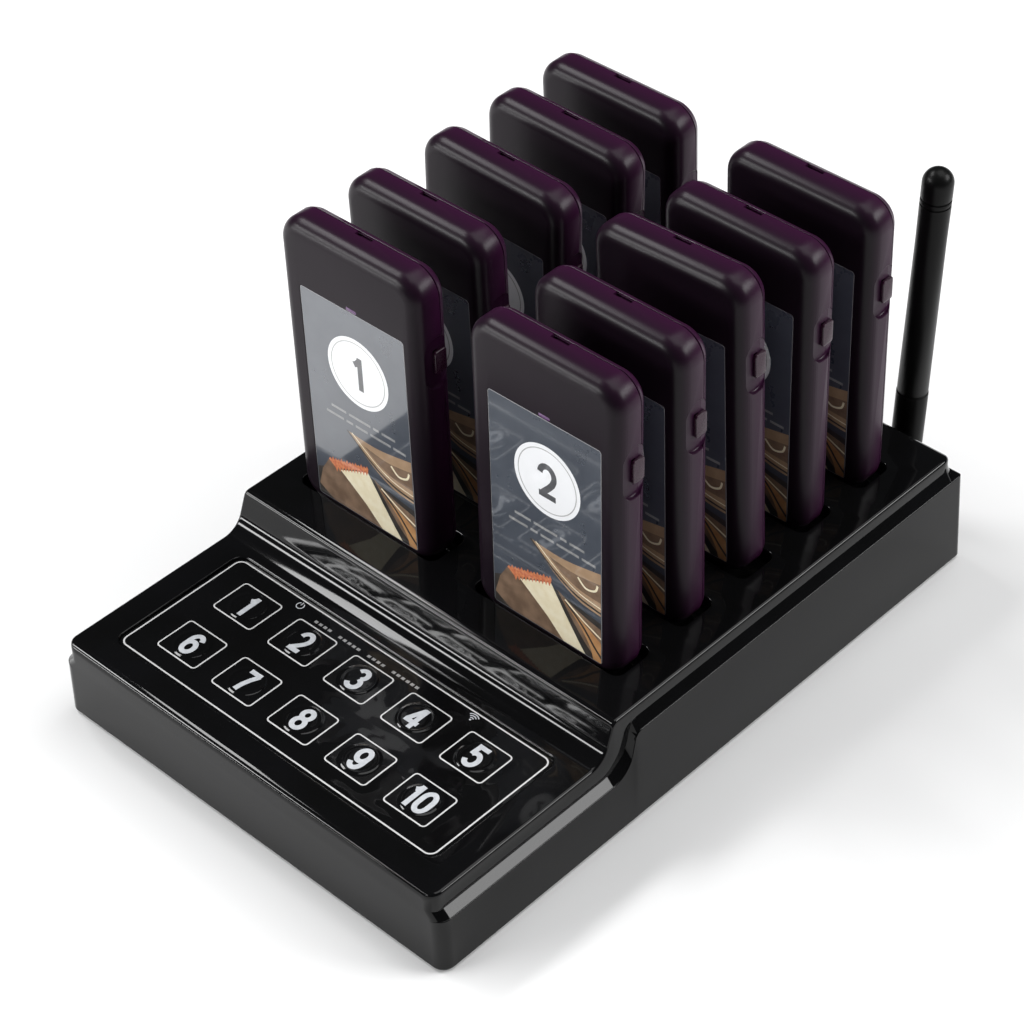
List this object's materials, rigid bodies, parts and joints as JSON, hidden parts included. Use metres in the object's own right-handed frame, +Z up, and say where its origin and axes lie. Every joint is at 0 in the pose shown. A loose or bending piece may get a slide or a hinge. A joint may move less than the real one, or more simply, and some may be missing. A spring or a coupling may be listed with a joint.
{
  "type": "restaurant pager set with charging base",
  "caption": "Guest paging set: a black charging base with a membrane keypad in front, slim pagers standing in shallow wells behind it, and a folding aerial at the back.",
  "frame": {"origin": "on the table plane, under the middle of the whole set's box, aerial included", "axes": "+X to the right seen from the keypad, +Y to the back where the aerial is, +Z up"},
  "size_m": [0.158, 0.2464, 0.1441],
  "materials": {
    "base_gloss": "polished black moulding",
    "base_underside": "textured black moulding",
    "membrane_film": "clear-coated printed film, black with grey key outlines",
    "circuit_board": "green solder mask with soldered parts",
    "contact_gold": "gold-flashed sprung pins",
    "socket_metal": "gold-flashed threaded aerial socket",
    "aerial_rubber": "satin black moulded sleeve",
    "aerial_knuckle": "satin black hinge block",
    "foot_rubber": "matt black rubber",
    "screw_steel": "zinc-plated steel",
    "pager_case": "satin dark aubergine translucent moulding",
    "pager_switch": "satin dark aubergine moulding",
    "pager_boards": "board, cell, motor and buzzer inside the closed case"
  },
  "bodies": {
    "base": {"top_shell": "base_gloss", "bottom_plate": "base_underside", "keypad_overlay": "membrane_film", "main_board": "circuit_board", "charge_contacts": "contact_gold", "antenna_socket": "socket_metal", "rubber_feet": "foot_rubber", "base_screws": "screw_steel"},
    "antenna_swivel": {"antenna_knuckle": "aerial_knuckle"},
    "antenna": {"antenna_whip": "aerial_rubber"},
    "key_1": {"key_1": "membrane_film"},
    "key_2": {"key_2": "membrane_film"},
    "key_3": {"key_3": "membrane_film"},
    "key_4": {"key_4": "membrane_film"},
    "key_5": {"key_5": "membrane_film"},
    "key_6": {"key_6": "membrane_film"},
    "key_7": {"key_7": "membrane_film"},
    "key_8": {"key_8": "membrane_film"},
    "key_9": {"key_9": "membrane_film"},
    "key_10": {"key_10": "membrane_film"},
    "pager_1": {"pager_1_front_case": "pager_case", "pager_1_rear_case": "pager_case", "pager_1_electronics": "pager_boards"},
    "pager_1_power_switch": {"pager_1_switch": "pager_switch"},
    "pager_2": {"pager_2_front_case": "pager_case", "pager_2_rear_case": "pager_case", "pager_2_electronics": "pager_boards"},
    "pager_2_power_switch": {"pager_2_switch": "pager_switch"},
    "pager_3": {"pager_3_front_case": "pager_case", "pager_3_rear_case": "pager_case", "pager_3_electronics": "pager_boards"},
    "pager_3_power_switch": {"pager_3_switch": "pager_switch"},
    "pager_4": {"pager_4_front_case": "pager_case", "pager_4_rear_case": "pager_case", "pager_4_electronics": "pager_boards"},
    "pager_4_power_switch": {"pager_4_switch": "pager_switch"},
    "pager_5": {"pager_5_front_case": "pager_case", "pager_5_rear_case": "pager_case", "pager_5_electronics": "pager_boards"},
    "pager_5_power_switch": {"pager_5_switch": "pager_switch"},
    "pager_6": {"pager_6_front_case": "pager_case", "pager_6_rear_case": "pager_case", "pager_6_electronics": "pager_boards"},
    "pager_6_power_switch": {"pager_6_switch": "pager_switch"},
    "pager_7": {"pager_7_front_case": "pager_case", "pager_7_rear_case": "pager_case", "pager_7_electronics": "pager_boards"},
    "pager_7_power_switch": {"pager_7_switch": "pager_switch"},
    "pager_8": {"pager_8_front_case": "pager_case", "pager_8_rear_case": "pager_case", "pager_8_electronics": "pager_boards"},
    "pager_8_power_switch": {"pager_8_switch": "pager_switch"},
    "pager_9": {"pager_9_front_case": "pager_case", "pager_9_rear_case": "pager_case", "pager_9_electronics": "pager_boards"},
    "pager_9_power_switch": {"pager_9_switch": "pager_switch"},
    "pager_10": {"pager_10_front_case": "pager_case", "pager_10_rear_case": "pager_case", "pager_10_electronics": "pager_boards"},
    "pager_10_power_switch": {"pager_10_switch": "pager_switch"}
  },
  "joints": [
    {"name": "antenna_swivel", "type": "hinge", "parent": "base", "child": "antenna_swivel", "pos_m": [0.0503, 0.1118, 0.025], "axis": [0, 1, 0], "range_deg": [-92, 88]},
    {"name": "antenna_fold", "type": "hinge", "parent": "antenna_swivel", "child": "antenna", "pos_m": [0.0503, 0.1181, 0.025], "axis": [-0.9994, 0, 0.0349], "range_deg": [0, 90]},
    {"name": "key_1_press", "type": "slide", "parent": "base", "child": "key_1", "axis": [0, 0, -1], "range_m": [0, 0.0004], "stiffness_N_per_m": 800},
    {"name": "key_2_press", "type": "slide", "parent": "base", "child": "key_2", "axis": [0, 0, -1], "range_m": [0, 0.0004], "stiffness_N_per_m": 800},
    {"name": "key_3_press", "type": "slide", "parent": "base", "child": "key_3", "axis": [0, 0, -1], "range_m": [0, 0.0004], "stiffness_N_per_m": 800},
    {"name": "key_4_press", "type": "slide", "parent": "base", "child": "key_4", "axis": [0, 0, -1], "range_m": [0, 0.0004], "stiffness_N_per_m": 800},
    {"name": "key_5_press", "type": "slide", "parent": "base", "child": "key_5", "axis": [0, 0, -1], "range_m": [0, 0.0004], "stiffness_N_per_m": 800},
    {"name": "key_6_press", "type": "slide", "parent": "base", "child": "key_6", "axis": [0, 0, -1], "range_m": [0, 0.0004], "stiffness_N_per_m": 800},
    {"name": "key_7_press", "type": "slide", "parent": "base", "child": "key_7", "axis": [0, 0, -1], "range_m": [0, 0.0004], "stiffness_N_per_m": 800},
    {"name": "key_8_press", "type": "slide", "parent": "base", "child": "key_8", "axis": [0, 0, -1], "range_m": [0, 0.0004], "stiffness_N_per_m": 800},
    {"name": "key_9_press", "type": "slide", "parent": "base", "child": "key_9", "axis": [0, 0, -1], "range_m": [0, 0.0004], "stiffness_N_per_m": 800},
    {"name": "key_10_press", "type": "slide", "parent": "base", "child": "key_10", "axis": [0, 0, -1], "range_m": [0, 0.0004], "stiffness_N_per_m": 800},
    {"name": "pager_1_lift", "type": "slide", "parent": "base", "child": "pager_1", "axis": [0, -0.0157, 0.9999], "range_m": [0, 0.06]},
    {"name": "pager_1_switch_slide", "type": "slide", "parent": "pager_1", "child": "pager_1_power_switch", "axis": [0, -0.0157, 0.9999], "range_m": [0, 0.0025]},
    {"name": "pager_2_lift", "type": "slide", "parent": "base", "child": "pager_2", "axis": [0, -0.0017, 1], "range_m": [0, 0.06]},
    {"name": "pager_2_switch_slide", "type": "slide", "parent": "pager_2", "child": "pager_2_power_switch", "axis": [0, -0.0017, 1], "range_m": [0, 0.0025]},
    {"name": "pager_3_lift", "type": "slide", "parent": "base", "child": "pager_3", "axis": [0, -0.0314, 0.9995], "range_m": [0, 0.06]},
    {"name": "pager_3_switch_slide", "type": "slide", "parent": "pager_3", "child": "pager_3_power_switch", "axis": [0, -0.0314, 0.9995], "range_m": [0, 0.0025]},
    {"name": "pager_4_lift", "type": "slide", "parent": "base", "child": "pager_4", "axis": [0, -0.0244, 0.9997], "range_m": [0, 0.06]},
    {"name": "pager_4_switch_slide", "type": "slide", "parent": "pager_4", "child": "pager_4_power_switch", "axis": [0, -0.0244, 0.9997], "range_m": [0, 0.0025]},
    {"name": "pager_5_lift", "type": "slide", "parent": "base", "child": "pager_5", "axis": [0.0297, -0.0192, 0.9994], "range_m": [0, 0.06]},
    {"name": "pager_5_switch_slide", "type": "slide", "parent": "pager_5", "child": "pager_5_power_switch", "axis": [0.0297, -0.0192, 0.9994], "range_m": [0, 0.0025]},
    {"name": "pager_6_lift", "type": "slide", "parent": "base", "child": "pager_6", "axis": [-0.0436, -0.0017, 0.999], "range_m": [0, 0.06]},
    {"name": "pager_6_switch_slide", "type": "slide", "parent": "pager_6", "child": "pager_6_power_switch", "axis": [-0.0436, -0.0017, 0.999], "range_m": [0, 0.0025]},
    {"name": "pager_7_lift", "type": "slide", "parent": "base", "child": "pager_7", "axis": [0.0209, -0.0105, 0.9997], "range_m": [0, 0.06]},
    {"name": "pager_7_switch_slide", "type": "slide", "parent": "pager_7", "child": "pager_7_power_switch", "axis": [0.0209, -0.0105, 0.9997], "range_m": [0, 0.0025]},
    {"name": "pager_8_lift", "type": "slide", "parent": "base", "child": "pager_8", "axis": [0, -0.0244, 0.9997], "range_m": [0, 0.06]},
    {"name": "pager_8_switch_slide", "type": "slide", "parent": "pager_8", "child": "pager_8_power_switch", "axis": [0, -0.0244, 0.9997], "range_m": [0, 0.0025]},
    {"name": "pager_9_lift", "type": "slide", "parent": "base", "child": "pager_9", "axis": [0, -0.0279, 0.9996], "range_m": [0, 0.06]},
    {"name": "pager_9_switch_slide", "type": "slide", "parent": "pager_9", "child": "pager_9_power_switch", "axis": [0, -0.0279, 0.9996], "range_m": [0, 0.0025]},
    {"name": "pager_10_lift", "type": "slide", "parent": "base", "child": "pager_10", "axis": [0, -0.0244, 0.9997], "range_m": [0, 0.06]},
    {"name": "pager_10_switch_slide", "type": "slide", "parent": "pager_10", "child": "pager_10_power_switch", "axis": [0, -0.0244, 0.9997], "range_m": [0, 0.0025]}
  ]
}
